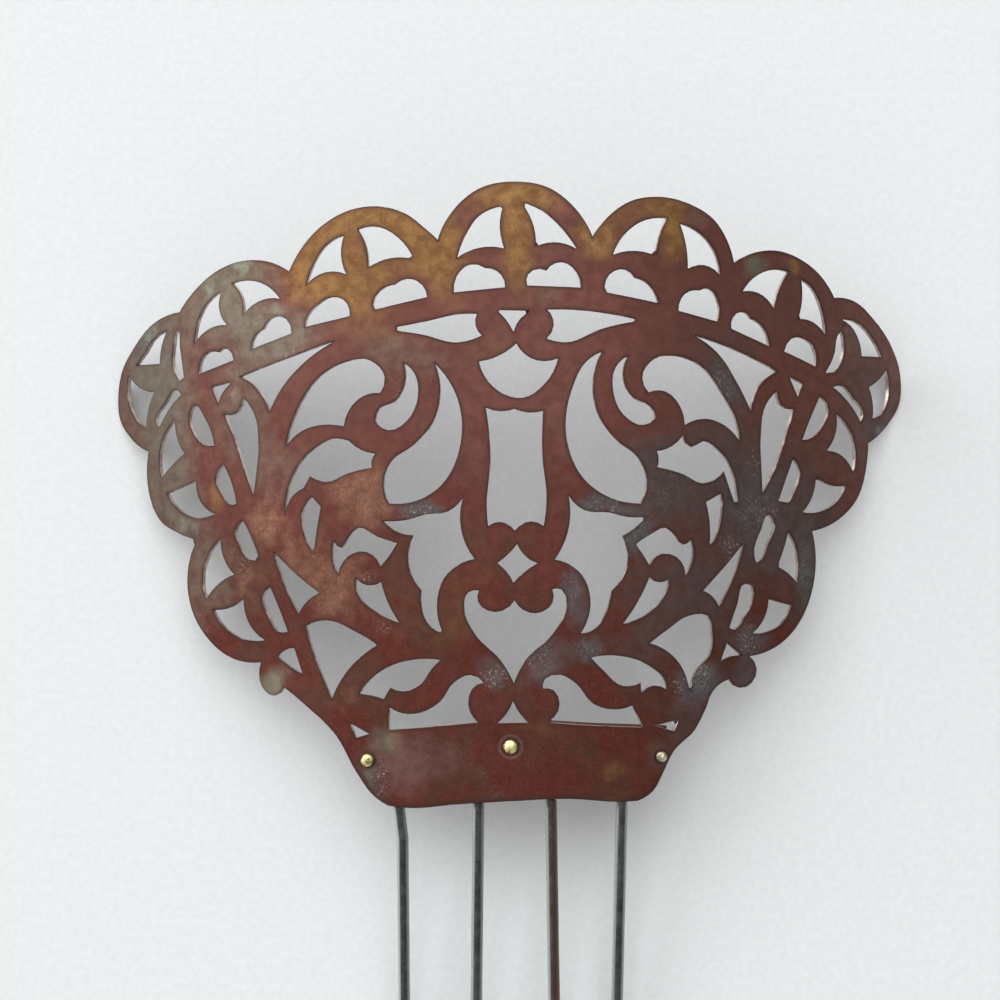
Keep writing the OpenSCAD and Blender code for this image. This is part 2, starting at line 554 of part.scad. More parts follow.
strip_r = bend_r - sheet_t - play;
strip_left = across(rivet_left_at[0]) - strip_end;
strip_right = across(rivet_right_at[0]) + strip_end;
filed_d = 0.8 * wire_d;
wire_r = strip_r - strip_t - filed_d / 2 + solder_sink;
dome_r = 0.6 * wire_d;
dome_h = dome_r - sqrt(dome_r * dome_r - wire_d * wire_d / 4);

// point on a wire's line
function wire_point(at) = [
    wire_r * sin(turn_of(across(at[0]))),
    at[1],
    wire_r * cos(turn_of(across(at[0])))
];

// straight piece of wire: a flat end at from, a domed or a flat end at to, and filed thinner near the strip
module wire_piece(from, to, domed, filed_foot) {
    way = to - from;
    body = norm(way) - (domed ? dome_h : 0);
    filed = max(0, norm(way) * (from[1] - filed_foot) / (from[1] - to[1]));
    translate(from)
        rotate([0, atan2(norm([way[0], way[1]]), way[2]), atan2(way[1], way[0])])
            rotate_extrude() {
                square([filed_d / 2, body]);
                translate([0, filed])
                    square([wire_d / 2, body - filed]);
                if (domed)
                    intersection() {
                        square([wire_d / 2, norm(way)]);
                        translate([0, norm(way) - dome_r])
                            circle(r = dome_r);
                    }
            }
}

// wire along a line of points: flat on top, filed thinner where it is soldered, with a ball a hair wider at
// each knee and a dome at the tip
module wire(line, foot) {
    for (k = [0 : len(line) - 2])
        wire_piece(wire_point(line[k]), wire_point(line[k + 1]), k == len(line) - 2, up(foot) - filed_drop);
    if (len(line) > 2)
        for (k = [1 : len(line) - 2])
            translate(wire_point(line[k]))
                sphere(d = 1.01 * wire_d);
}

module foot_strip() {
    difference() {
        bent_sheet(strip_left, strip_right, strip_lift, up(14), strip_r, strip_t);
        cut_through(concat(
            [for (p = strip_top) spot(p) + [0, strip_over]],
            [spot([40, 30]), spot([-40, 30])]
        ), 0);
        for (corner = strip_corners)
            cut_through([for (p = corner) spot(p)], spot(corner[1])[0]);
    }
}

module tine_comb_flat() {
    difference() {
        union() {
            foot_strip();
            for (k = [0 : len(tines) - 1])
                wire(tines[k], feet[k]);
        }
        rivet_holes();
    }
}

// domed rivet through the sheet and the strip, with a hammered tail behind; the shank's ends bite into both
module rivet(at) {
    wide = head_d * at[2];
    round_r = (head_h * head_h + wide * wide / 4) / (2 * head_h);
    tail_face = -sheet_t - strip_t - 2 * play;
    bite = 0.1;
    on_sheet(at) {
        intersection() {
            translate([0, 0, play])
                cylinder(h = head_h, d = wide);
            translate([0, 0, play + head_h - round_r])
                sphere(r = round_r);
        }
        translate([0, 0, tail_face - bite])
            cylinder(h = play - tail_face + 2 * bite, d = shank_d);
        translate([0, 0, tail_face - tail_h])
            cylinder(h = tail_h, d = shank_d + 2 * tail_spread);
    }
}

// resting pose: the hollow side down, on the two outer scallops and one outer tine
inner_r = bend_r - sheet_t;

// points of the hollow side's rim along a cut
function inner_rim(edge) =
    let (middle = middle_of(edge), turn = turn_of(middle))
    [for (p = edge)
        let (x = meet_r * sin(turn_of(p[0] - middle)), z = sqrt(inner_r * inner_r - x * x))
        [x * cos(turn) + z * sin(turn), p[1], z * cos(turn) - x * sin(turn)]];

function lowest(points, upward) =
    let (low = min([for (p = points) p * upward]))
    [for (p = points) if (p * upward == low) p][0];

touch_tip = wire_point(tines[3][1]) + [0, dome_h, -wire_d / 2];
left_rim = inner_rim(open_cut(flipped(edge_left[2])));
right_rim = inner_rim(open_cut(edge_right[2]));
function upward_on(left, right) = unit(cross(touch_tip - left, right - left));
first_up = upward_on(lowest(left_rim, [0, 0, 1]), lowest(right_rim, [0, 0, 1]));
touch_left = lowest(left_rim, first_up);
touch_right = lowest(right_rim, first_up);
table_up = upward_on(touch_left, touch_right);
roll = atan2(-table_up[0], table_up[2]);
tilt = atan2(table_up[1], norm([table_up[0], table_up[2]]));
rest_z = -(table_up * touch_left);

// turns a point of the comb into the resting pose, before it is centred
function laid(p) =
    let (x = p[0] * cos(roll) + p[2] * sin(roll), z = p[2] * cos(roll) - p[0] * sin(roll))
    [x, p[1] * cos(tilt) - z * sin(tilt)];
outline = [
    for (edge = edges)
        for (p = open_cut(edge))
            for (r = [inner_r, bend_r])
                laid([r * sin(turn_of(p[0])), p[1], r * cos(turn_of(p[0]))])
];
tips = [for (tine = tines) laid(wire_point(tine[len(tine) - 1]))];
rest_x = (min([for (p = outline) p[0]]) + max([for (p = outline) p[0]])) / 2;
rest_y = (min([for (p = tips) p[1]]) + max([for (p = outline) p[1]])) / 2;

module rest() {
    translate([-rest_x, -rest_y, rest_z])
        rotate([tilt, 0, 0])
            rotate([0, roll, 0])
                children();
}

module crest_plate() {
    color(copper)
        rest()
            crest_plate_flat();
}

module tine_comb() {
    color(steel)
        rest()
            tine_comb_flat();
}

module rivet_left() {
    color(brass)
        rest()
            rivet(rivet_left_at);
}

module rivet_centre() {
    color(brass)
        rest()
            rivet(rivet_centre_at);
}

module rivet_right() {
    color(brass)
        rest()
            rivet(rivet_right_at);
}

crest_plate();
tine_comb();
rivet_left();
rivet_centre();
rivet_right();
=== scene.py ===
import math

import bmesh
import bpy
from mathutils import Matrix, Vector, kdtree, noise


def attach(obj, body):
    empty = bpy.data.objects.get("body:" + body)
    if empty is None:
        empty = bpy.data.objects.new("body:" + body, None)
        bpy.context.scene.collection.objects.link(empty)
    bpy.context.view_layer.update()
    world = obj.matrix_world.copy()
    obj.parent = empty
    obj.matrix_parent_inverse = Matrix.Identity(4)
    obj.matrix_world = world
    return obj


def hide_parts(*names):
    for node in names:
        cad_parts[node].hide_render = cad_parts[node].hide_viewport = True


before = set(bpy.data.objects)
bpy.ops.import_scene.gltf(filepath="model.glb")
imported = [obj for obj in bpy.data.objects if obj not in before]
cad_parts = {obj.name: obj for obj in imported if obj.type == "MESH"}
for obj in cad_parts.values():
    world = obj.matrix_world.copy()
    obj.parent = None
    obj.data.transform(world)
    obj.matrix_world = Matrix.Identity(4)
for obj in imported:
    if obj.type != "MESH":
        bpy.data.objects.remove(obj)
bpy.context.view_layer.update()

mm = 0.001
touching = 1e-6  # metres; corners closer than this to each other or to a cut are joined

# how the comb lies: turned about its height, tipped onto one tine, then centred; millimetres and degrees
rest = {"roll": 1.0187, "tilt": 13.6587, "shift": (-0.2525, -3.958, -70.183)}
combToRow = (
    Matrix.Translation(Vector(rest["shift"]) * mm)
    @ Matrix.Rotation(math.radians(rest["tilt"]), 4, "X")
    @ Matrix.Rotation(math.radians(rest["roll"]), 4, "Y")
)
rowToComb = combToRow.inverted()

# the bent sheet that everything sits on; a corner of its face lies off the bend by no more than faceGap
sheet = {"bend": 90 * mm, "thick": 0.8 * mm, "chamfer": 0.1 * mm, "cell": 1.25 * mm, "faceGap": 0.03 * mm}


def onSheet(across, up):
    turned = combToRow @ Matrix.Rotation(across * mm / sheet["bend"], 4, "Y")
    return turned @ Matrix.Translation((0, up * mm, sheet["bend"]))


# camera

# square to the sheet: distance from the middle of its bend and height up it in millimetres, clip in metres
view = {"distance": 540, "height": 50, "lens": 97.2, "shift": -0.013, "clip": (0.01, 20)}
camera = bpy.data.objects.new("camera", bpy.data.cameras.new("camera"))
camera.data.lens = view["lens"]
camera.data.shift_x = view["shift"]
camera.data.clip_start, camera.data.clip_end = view["clip"]
camera.matrix_world = combToRow @ Matrix.Translation((0, view["height"] * mm, view["distance"] * mm))
bpy.context.collection.objects.link(camera)
bpy.context.scene.camera = camera
bpy.context.scene.view_settings.view_transform = "Standard"
print("camera")


# shader helpers

def fillSockets(tree, node, sockets):
    for socket, value in sockets.items():
        if isinstance(value, bpy.types.NodeSocket):
            tree.links.new(value, node.inputs[socket])
        else:
            node.inputs[socket].default_value = value
    return node


def addNode(tree, kind, sockets, **settings):
    made = tree.nodes.new(kind)
    for key, value in settings.items():
        setattr(made, key, value)
    return fillSockets(tree, made, sockets)


def newGroup(name, inputs, outputs):
    tree = bpy.data.node_groups.new(name, "ShaderNodeTree")
    for label, kind in inputs.items():
        tree.interface.new_socket(name=label, in_out="INPUT", socket_type="NodeSocket" + kind)
    for label in outputs:
        tree.interface.new_socket(name=label, in_out="OUTPUT", socket_type="NodeSocketFloat")
    return tree, tree.nodes.new("NodeGroupInput").outputs, tree.nodes.new("NodeGroupOutput")


def useGroup(tree, group, sockets):
    return addNode(tree, "ShaderNodeGroup", sockets, node_tree=group).outputs


def newMaterial(name, **sockets):
    made = bpy.data.materials.new(name)
    made.use_nodes = True
    shader = fillSockets(made.node_tree, made.node_tree.nodes["Principled BSDF"], sockets)
    return made, made.node_tree, shader


def mixColour(tree, factor, low, high, blend="MIX"):
    low, high = [(*value, 1) if isinstance(value, tuple) else value for value in (low, high)]
    sockets = {0: factor, 6: low, 7: high}
    return addNode(tree, "ShaderNodeMix", sockets, data_type="RGBA", blend_type=blend).outputs[2]


def mapRange(tree, value, fromLow, fromHigh, toLow=0.0, toHigh=1.0):
    return addNode(tree, "ShaderNodeMapRange", {
        "Value": value, "From Min": fromLow, "From Max": fromHigh, "To Min": toLow, "To Max": toHigh,
    }, interpolation_type="SMOOTHSTEP").outputs["Result"]


def calculate(tree, operation, *values):
    return addNode(tree, "ShaderNodeMath", dict(enumerate(values)), operation=operation).outputs[0]


def vectorResult(tree, operation, sockets):
    made = addNode(tree, "ShaderNodeVectorMath", sockets, operation=operation)
    return made.outputs["Value" if operation in ("LENGTH", "DOT_PRODUCT") else "Vector"]


def noiseResult(tree, vector, scale, detail, roughness=0.5):
    return addNode(tree, "ShaderNodeTexNoise", {
        "Vector": vector, "Scale": scale, "Detail": detail, "Roughness": roughness,
    }).outputs["Fac"]


def addBump(tree, shader, height, strength, distance):
    made = addNode(tree, "ShaderNodeBump", {"Height": height, "Strength": strength, "Distance": distance})
    tree.links.new(made.outputs[0], shader.inputs["Normal"])


def sheetValues(tree, name):
    return addNode(tree, "ShaderNodeAttribute", {}, attribute_name=name).outputs["Vector"]


def parted(tree, vector):
    return addNode(tree, "ShaderNodeSeparateXYZ", {0: vector}).outputs


# fine wear that every metal shares: brushed strokes, cloudy mottle, small flecks and a fine grain

wearLook = {
    "strokes": [(38, (8.0, 1.1, 0.7)), (-52, (9.5, 1.5, 0.9))],  # turn in degrees, closeness each way
    "strokeNoise": (1.0, 3.0, 0.6),  # scale, detail and roughness, as in the next three
    "mottle": (0.42, 6.0, 0.62),
    "fleck": (2.3, 4.0, 0.8),
    "grain": (3.4, 2.0, 0.5),
    "strokeEdge": (0.5, 0.78),  # where a stroke starts and is whole
    "fleckEdge": (0.52, 0.74),
}
wearGroup, wearIn, wearOut = newGroup(
    "metalWear", {"Place": "Vector", "Fineness": "Float"}, ["Stroke", "Mottle", "Fleck", "Grain"]
)
wearPlace = vectorResult(wearGroup, "SCALE", {0: wearIn["Place"], "Scale": wearIn["Fineness"]})


def brushed(turn, stretch):
    turned = addNode(wearGroup, "ShaderNodeVectorRotate", {
        "Vector": wearPlace, "Angle": math.radians(turn),
    }, rotation_type="Z_AXIS").outputs[0]
    drawn = vectorResult(wearGroup, "MULTIPLY", {0: turned, 1: stretch})
    lines = noiseResult(wearGroup, drawn, *wearLook["strokeNoise"])
    return mapRange(wearGroup, lines, *wearLook["strokeEdge"])


fleckNoise = noiseResult(wearGroup, wearPlace, *wearLook["fleck"])
fillSockets(wearGroup, wearOut, {
    "Stroke": calculate(wearGroup, "MAXIMUM", *[brushed(*facts) for facts in wearLook["strokes"]]),
    "Mottle": noiseResult(wearGroup, wearPlace, *wearLook["mottle"]),
    "Fleck": mapRange(wearGroup, fleckNoise, *wearLook["fleckEdge"]),
    "Grain": noiseResult(wearGroup, wearPlace, *wearLook["grain"]),
})

# a ring round a fastener: zero outside, one on the ring, and soft over the outer part of its width

ringSoftness = (1.0, 0.2)
ringGroup, ringIn, ringOut = newGroup(
    "ring", {"Place": "Vector", "Middle": "Vector", "Radius": "Float", "Width": "Float"}, ["Mask"]
)
fromMiddle = vectorResult(ringGroup, "SUBTRACT", {0: ringIn["Place"], 1: ringIn["Middle"]})
howFar = vectorResult(ringGroup, "LENGTH", {0: fromMiddle})
offRing = calculate(ringGroup, "ABSOLUTE", calculate(ringGroup, "SUBTRACT", howFar, ringIn["Radius"]))
ringShare = mapRange(ringGroup, calculate(ringGroup, "DIVIDE", offRing, ringIn["Width"]), *ringSoftness)
fillSockets(ringGroup, ringOut, {"Mask": ringShare})


# copper

copper = {
    "deep": (0.114, 0.025, 0.021),
    "brown": (0.092, 0.036, 0.027),
    "mauve": (0.178, 0.072, 0.062),
    "gold": (0.285, 0.150, 0.056),
    "goldSpot": (0.185, 0.083, 0.040),
    "orange": (0.200, 0.092, 0.066),
    "stroke": (0.46, 0.245, 0.14),
    "dark": (0.092, 0.066, 0.064),
    # the haze and lead colours are partly painted sheen
    "hazeAndSheen": (0.175, 0.158, 0.124),
    "slate": (0.096, 0.092, 0.100),
    "leadAndSheen": (0.250, 0.265, 0.205),
    "scuff": (0.62, 0.62, 0.62),
    "grain": (0.15, 0.065, 0.036),
    # the rim colour is painted shade, along every cut and round the rivet heads
    "rim": (0.045, 0.026, 0.026),
    "rose": (0.185, 0.090, 0.088),
    "back": (0.070, 0.034, 0.026),
}
# ranges: where a change starts and ends, then the values it has there, which are 0 and 1 if not given
copperLook = {
    "brown": (0.4, 0.62),
    "mauve": (25, 80, 0.0, 0.75),  # up the sheet, in millimetres
    "goldSpots": (0.36, 0.62, 0.6, 0.0),
    "strokes": (0.1, 0.9, 0.04, 0.75),
    "grain": (0.45, 0.7, 0.0, 0.4),
    # the rim entries shape the painted shade along the cuts
    "rimShadeWidth": (0.35, 0.65, 0.35, 1.1),
    "rimAtFoot": (2, 5, 1.7, 1.0),  # up the sheet, in millimetres
    "rimDepth": (0.2, 0.9, 0.7, 0.4),
    "rimFade": (1.0, 0.0),
    "scuffNoise": (0.15, 0.8, 0.1, 1.0),
    "scuff": (0.03, 0.75),
    "specks": (0.6, 0.95),
    "speckSide": (0, 40, 0.08, 0.5),  # to the right of the middle, in millimetres
    "speckClouds": (0.45, 0.6),
    "behind": (-0.3, -0.5, 0.0, 0.65),  # out from the middle of the sheet's thickness, in millimetres
    "shade": (0.3, 0.7, 0.86, 1.12),
    "rough": (0.3, 0.7, 0.5, 0.38),
}
# the copper's metal, broad clouds, scuffs, grain and bump, and how the flecks break the rings
copperFinish = {
    "metallic": 0.92, "clouds": (0.09, 5.0, 0.6), "strokeInScuff": 0.7, "scuffPolish": 0.12,
    "grainHeight": 0.25, "bump": (0.35, 0.12 * mm), "ringBreak": (0.0, 0.6), "ringLeast": 0.3,
}
# in the order they lie: how far the noise moves a stain's edge, and where the stain starts and is whole
stainRagged = {
    "rose": (0.7, 0.1, 1.1),
    "dark": (0.5, 0.1, 0.95),
    "hazeAndSheen": (0.6, 0.05, 1.05),
    "orange": (0.9, 0.1, 1.15),
    "gold": (0.5, 0.1, 0.95),
    "slate": (0.5, 0.1, 0.9),
    "leadAndSheen": (0.8, 0.25, 0.9),
}
# stains, scuffs and painted sheen on the flat sheet: middle across and up, half width, half height in
# millimetres, strength
stains = {
    "gold": [
        (-34, 88, 8, 6, 0.95), (-33, 97, 9, 6, 0.7), (-20, 98, 10, 6, 0.8), (-14, 92, 7, 7, 0.8),
        (-26, 87, 7, 6, 0.75), (-24, 79, 9, 4, 0.4), (0, 101, 8, 4, 0.9), (0.5, 93, 4, 6, 0.95),
        (3, 86, 6, 4, 0.3), (14, 94, 6, 5, 0.8), (22, 101, 9, 4, 0.6), (27, 99, 5, 5, 0.6),
        (27.3, 95.5, 3, 5.5, 1), (51.6, 89, 2, 2, 0.8), (-8, 33, 8, 10, 0.3), (-54.5, 50, 2, 2.4, 0.6),
        (18, 5.7, 3, 2, 0.5), (-20.5, 9.8, 3, 2, 0.3), (24, 6, 3, 3, 0.35), (14, 0.6, 8, 1.4, 0.4),
        (3, 10.6, 7, 1.6, 0.3), (-51, 84.5, 3, 4, 0.3), (-10, 88, 5, 8, 0.5), (-2, 75, 6, 4, 0.25),
    ],
    "orange": [
        (-25.5, 51, 7, 7, 0.95), (-31, 35, 6, 7, 0.75), (-44, 47, 5, 5, 0.8), (-37, 41, 5, 6, 0.6),
        (-48, 37, 4, 4, 0.45), (-29, 17, 4, 3, 0.4), (-20, 30, 6, 4, 0.3), (32, 98, 5, 4, 0.3),
        (-25, 42, 4, 4, 0.4),
    ],
    "dark": [
        (24, 53, 9, 8, 0.9), (34, 56, 8, 12, 0.6), (45, 50, 12, 14, 0.7), (30, 34, 12, 10, 0.7),
        (22, 24, 8, 6, 0.45), (55, 40, 10, 16, 0.6), (70, 66, 10, 16, 0.6), (52, 84, 12, 10, 0.35),
        (38, 72, 8, 8, 0.5), (30, 10, 5, 8, 0.6), (-24, 3, 2, 5, 0.6), (0, 0, 9, 1.4, 0.4),
    ],
    # haze stains are partly a dull grey film and partly painted sheen: lighter patches where the sheet would
    # reflect the bright room
    "hazeAndSheen": [
        (-53, 86, 12, 9, 0.8), (-40, 79, 9, 4, 0.4), (-70, 71, 11, 15, 0.8), (-66, 52, 9, 12, 0.6),
        (-58, 36, 9, 11, 0.5), (-49, 64, 8, 9, 0.45), (-45, 76, 9, 6, 0.65), (-42, 55, 6, 7, 0.3),
        (-19, 75, 7, 5, 0.4), (33, 99, 4, 3, 0.4), (43, 89, 3, 3, 0.8), (27.6, 97, 2.2, 2.6, 0.5),
        (54, 39, 2.4, 4, 0.5), (-22, 9.4, 3.4, 2.6, 0.7), (-43, 18.5, 3.6, 3.8, 0.95),
        (6, 84, 2.4, 4, 0.35), (-51, 84, 3, 5, 0.4), (64, 78, 5, 5, 0.3), (14, 95, 3, 2.4, 0.5),
        (58, 38, 3, 5, 0.4),
    ],
    "slate": [
        (20, 43.6, 5, 4, 0.95), (14, 49.5, 5, 2.4, 0.8), (-15.6, 48.5, 5, 2.4, 0.7), (38, 70, 5, 5, 0.6),
        (43, 50, 7, 8, 0.55), (54, 38, 4, 9, 0.7), (42, 26, 5, 5, 0.6), (33, 19.6, 4.4, 4, 0.8),
        (30.4, 16.3, 3.4, 2.8, 0.5), (46, 40, 5, 5, 0.4), (10, 33, 3, 6, 0.65), (72, 61, 4, 6, 0.6),
        (4.5, 24, 4, 5, 0.6), (-3, 20.5, 3.5, 3, 0.5), (12.6, 25, 4, 2.4, 0.6), (-62, 44, 4, 4, 0.4),
        (-72, 77, 5, 4, 0.5), (41, 19, 4, 3.5, 0.6),
    ],
    # lead patches are pale bare metal, partly painted sheen along the scallop rims and on the lobes
    "leadAndSheen": [
        (-48, 91, 4, 2.6, 0.8), (-57, 87.5, 3, 3, 0.5), (-72, 80, 3, 3, 0.6), (-62.4, 45, 4, 3, 0.5),
        (-56, 28, 4, 6, 0.3), (-43, 18, 3, 3, 0.35), (-51, 70, 2, 5, 0.4), (72.5, 62.4, 3.4, 2.6, 0.5),
        (-74, 66, 2.4, 8, 0.4), (-24, 4, 1.4, 4, 0.4), (-41.4, 81, 1.6, 3, 0.5),
    ],
    "scuff": [
        (-15.6, 48, 3.6, 1.6, 0.7), (14.1, 49.2, 3.6, 2, 0.5), (17.4, 49.2, 0.7, 2.6, 1),
        (-3.2, 20.5, 3, 2.4, 0.7), (4.2, 24.3, 3, 4, 0.55), (9.6, 35, 2, 5, 0.4), (12.6, 25.1, 3, 2, 0.5),
        (43.8, 47.8, 5, 4, 0.6), (38, 42, 2.4, 2.4, 0.8), (42.6, 57, 2.4, 4, 0.45), (53.2, 38, 1.6, 5, 0.6),
        (41.6, 26, 2.4, 3, 0.75), (32.4, 20.6, 2.4, 2.8, 1), (28.2, 19.2, 2, 2, 0.6),
        (-49, 39, 1.8, 1.6, 0.6), (-25, 37, 1.4, 1.4, 0.6), (-22, 29, 2.4, 1.6, 0.5),
        (-39, 75, 4, 1.1, 0.6), (-72, 77, 3.4, 2.4, 0.6), (6, 84, 1.6, 2, 0.3), (14, 93, 3, 2, 0.35),
        (36.4, 69, 2.4, 4.5, 0.75), (-5, 4.2, 1, 2.4, 0.4), (-3.3, 0.5, 0.9, 0.9, 0.6),
        (-22.6, 3.6, 1.6, 4, 0.7), (-19.4, 67.6, 1.2, 2.6, 0.5), (26, 52, 6, 6, 0.3), (20, 43.6, 4, 4, 0.5),
        (30.4, 16.3, 3, 2.4, 0.35),
    ],
    "rose": [
        (-18, 6, 6, 6, 0.8), (-10, 7, 5, 5, 0.3), (-17, 75, 6, 5, 0.5), (-8, 62, 4, 14, 0.3),
        (8, 62, 4, 12, 0.25),
    ],
}
stainChannels = {"warmStains": ("gold", "orange", "dark"), "coolStainsAndSheen": ("hazeAndSheen", "slate", "leadAndSheen")}
# a stain is whole up to the inner share of its size and gone at the outer; its drift is in millimetres
stainEdge = {
    "inner": 0.3, "outer": 1.5, "drift": 2.5, "driftScale": 0.13, "driftPlace": 5, "driftSeed": 1795835556,
}
# without a seed of its own the drift would follow the clock and differ from run to run
noise.seed_set(stainEdge["driftSeed"])


def softStep(low, high, value):
    share = min(1, max(0, (value - low) / (high - low)))
    return share * share * (3 - 2 * share)


def stainAt(name, across, up):
    clean = 1
    for middleAcross, middleUp, wide, high, strength in stains[name]:
        away = math.hypot((across - middleAcross) / wide, (up - middleUp) / high)
        if away < stainEdge["outer"]:
            clean *= 1 - strength * (1 - softStep(stainEdge["inner"], stainEdge["outer"], away))
    return 1 - clean


copperSheet, copperTree, copperShader = newMaterial("agedCopper", Metallic=copperFinish["metallic"])


def copperRange(value, name):
    return mapRange(copperTree, value, *copperLook[name])


def copperMath(operation, *values):
    return calculate(copperTree, operation, *values)


def ragged(share, noiseValue, amount, low, high):
    moved = copperMath("MULTIPLY_ADD", noiseValue, amount, -amount / 2)
    return mapRange(copperTree, copperMath("ADD", moved, share), low, high)


flatPlace = sheetValues(copperTree, "flatPlace")
place = parted(copperTree, flatPlace)
marks = parted(copperTree, sheetValues(copperTree, "wearMarks"))
wear = useGroup(copperTree, wearGroup, {"Place": flatPlace, "Fineness": 1.0})
clouds = noiseResult(copperTree, flatPlace, *copperFinish["clouds"])

# the marks are the scuffs, the distance from the nearest cut in millimetres, and the rose stains
stainShare = {"rose": marks["Z"]}
for attribute, kinds in stainChannels.items():
    channels = parted(copperTree, sheetValues(copperTree, attribute))
    for kind, axis in zip(kinds, "XYZ"):
        stainShare[kind] = channels[axis]

colour = mixColour(copperTree, copperRange(clouds, "brown"), copper["deep"], copper["brown"])
colour = mixColour(copperTree, copperRange(place["Y"], "mauve"), colour, copper["mauve"])

stainTint = {kind: copper[kind] for kind in stainRagged}
goldSpots = copperRange(wear["Mottle"], "goldSpots")
stainTint["gold"] = mixColour(copperTree, goldSpots, copper["gold"], copper["goldSpot"])
patch = {}
for kind, facts in stainRagged.items():
    patch[kind] = ragged(stainShare[kind], clouds if kind == "gold" else wear["Mottle"], *facts)
    colour = mixColour(copperTree, patch[kind], colour, stainTint[kind])

strokeShare = copperMath("MULTIPLY", wear["Stroke"], copperRange(patch["orange"], "strokes"))
colour = mixColour(copperTree, strokeShare, colour, copper["stroke"])
colour = mixColour(copperTree, copperRange(wear["Grain"], "grain"), colour, copper["grain"])

# painted shade: a thin dark rim along every cut, wider at the foot of the band
rimShadeWidth = copperMath(
    "MULTIPLY", copperRange(wear["Mottle"], "rimShadeWidth"), copperRange(place["Y"], "rimAtFoot")
)
rimShadeShare = copperRange(copperMath("DIVIDE", marks["Y"], rimShadeWidth), "rimFade")
rimShadeShare = copperMath("MULTIPLY", rimShadeShare, copperRange(patch["hazeAndSheen"], "rimDepth"))
colour = mixColour(copperTree, rimShadeShare, colour, copper["rim"])

# scuffs down to the pale metal, and loose specks that are denser on the right
scuffNoise = copperMath("MULTIPLY", wear["Stroke"], copperFinish["strokeInScuff"])
scuffNoise = copperRange(copperMath("MAXIMUM", wear["Fleck"], scuffNoise), "scuffNoise")
scuffShare = copperMath("MULTIPLY", scuffNoise, marks["X"])
specks = copperRange(wear["Fleck"], "specks")
specks = copperMath("MULTIPLY", specks, copperRange(place["X"], "speckSide"))
specks = copperMath("MULTIPLY", specks, copperRange(clouds, "speckClouds"))
scuff = copperMath("MAXIMUM", copperRange(scuffShare, "scuff"), specks)
colour = mixColour(copperTree, scuff, colour, copper["scuff"])

# rivets on the flat sheet: middle across and up in millimetres
rivetSpots = {"left": (-24.72, 6.283), "centre": (-0.4, 8.858), "right": (25.2, 6.901)}
# rings round the rivets: rivet, radius and width in millimetres, colour, strength; the rings in the rim
# colour are painted shade in the gap round each head
rivetRings = [
    ("centre", 1.85, 0.4, "scuff", 0.2),
    ("right", 1.6, 1.3, "slate", 0.8),
    ("left", 1.7, 1.2, "slate", 0.4),
    ("left", 1.3, 0.45, "rim", 0.8),
    ("centre", 1.35, 0.45, "rim", 0.8),
    ("right", 1.12, 0.45, "rim", 0.9),
]
ringPlace = vectorResult(copperTree, "MULTIPLY", {0: flatPlace, 1: (1, 1, 0)})
for rivetName, radius, width, tint, strength in rivetRings:
    mask = useGroup(copperTree, ringGroup, {
        "Place": ringPlace, "Middle": (*rivetSpots[rivetName], 0), "Radius": radius, "Width": width,
    })["Mask"]
    least = strength * copperFinish["ringLeast"]
    broken = mapRange(copperTree, wear["Fleck"], *copperFinish["ringBreak"], least, strength)
    colour = mixColour(copperTree, copperMath("MULTIPLY", mask, broken), colour, copper[tint])

colour = mixColour(copperTree, copperRange(place["Z"], "behind"), colour, copper["back"])
shade = copperRange(wear["Mottle"], "shade")
shadeColour = addNode(copperTree, "ShaderNodeCombineColor", {0: shade, 1: shade, 2: shade}).outputs[0]
polish = copperMath("MULTIPLY", scuff, copperFinish["scuffPolish"])
fillSockets(copperTree, copperShader, {
    "Base Color": mixColour(copperTree, 1.0, colour, shadeColour, "MULTIPLY"),
    "Roughness": copperMath("SUBTRACT", copperRange(wear["Mottle"], "rough"), polish),
})
copperHeight = copperMath("MULTIPLY", wear["Grain"], copperFinish["grainHeight"])
copperHeight = copperMath("ADD", copperHeight, wear["Mottle"])
addBump(copperTree, copperShader, copperHeight, *copperFinish["bump"])

# the strip, the pale sawn walls of the openings, and the filed edges between wall and face, whose pale
# patches are partly rubbed metal and partly painted highlight:
# metallic, worn and brightened colour, where the brightening starts and is whole, roughness
edgeFinishes = {
    "stripCopper": (0.9, (0.070, 0.028, 0.020), (0.125, 0.055, 0.038), (0.35, 0.65), 0.42),
    "sawnWall": (1.0, (0.46, 0.34, 0.30), (0.78, 0.66, 0.61), (0.35, 0.65), 0.35),
    "rubbedAndLitEdge": (0.9, (0.06, 0.030, 0.026), (0.40, 0.31, 0.29), (0.5, 0.72), 0.38),
}
# the top edge of the band is painted pale between these heights in millimetres: partly rubbed metal, partly
# a painted highlight line
edgeLook = {
    "fineness": 0.8, "sillFoot": (10.8, 11.8), "sillTop": (14.6, 13.6), "grain": (0.35, 0.65),
    "roughSpread": 0.06, "bump": (0.4, 0.08 * mm),
}


def edgeMaterial(name, metallic, worn, brightened, brightening, roughness):
    made, tree, shader = newMaterial(name, Metallic=metallic)
    edgePlace = sheetValues(tree, "flatPlace")
    edgeWear = useGroup(tree, wearGroup, {"Place": edgePlace, "Fineness": edgeLook["fineness"]})
    height = parted(tree, edgePlace)["Y"]
    # the sill strip is partly rubbed metal, partly a painted highlight along the band's top edge
    sill = [mapRange(tree, height, *edgeLook[end]) for end in ("sillFoot", "sillTop")]
    patches = mapRange(tree, edgeWear["Mottle"], *brightening)
    share = calculate(tree, "MAXIMUM", patches, calculate(tree, "MULTIPLY", *sill))
    roughest = roughness + edgeLook["roughSpread"]
    smoothest = roughness - edgeLook["roughSpread"]
    fillSockets(tree, shader, {
        "Base Color": mixColour(tree, share, worn, brightened),
        "Roughness": mapRange(tree, edgeWear["Grain"], *edgeLook["grain"], roughest, smoothest),
    })
    addBump(tree, shader, edgeWear["Grain"], *edgeLook["bump"])
    return made


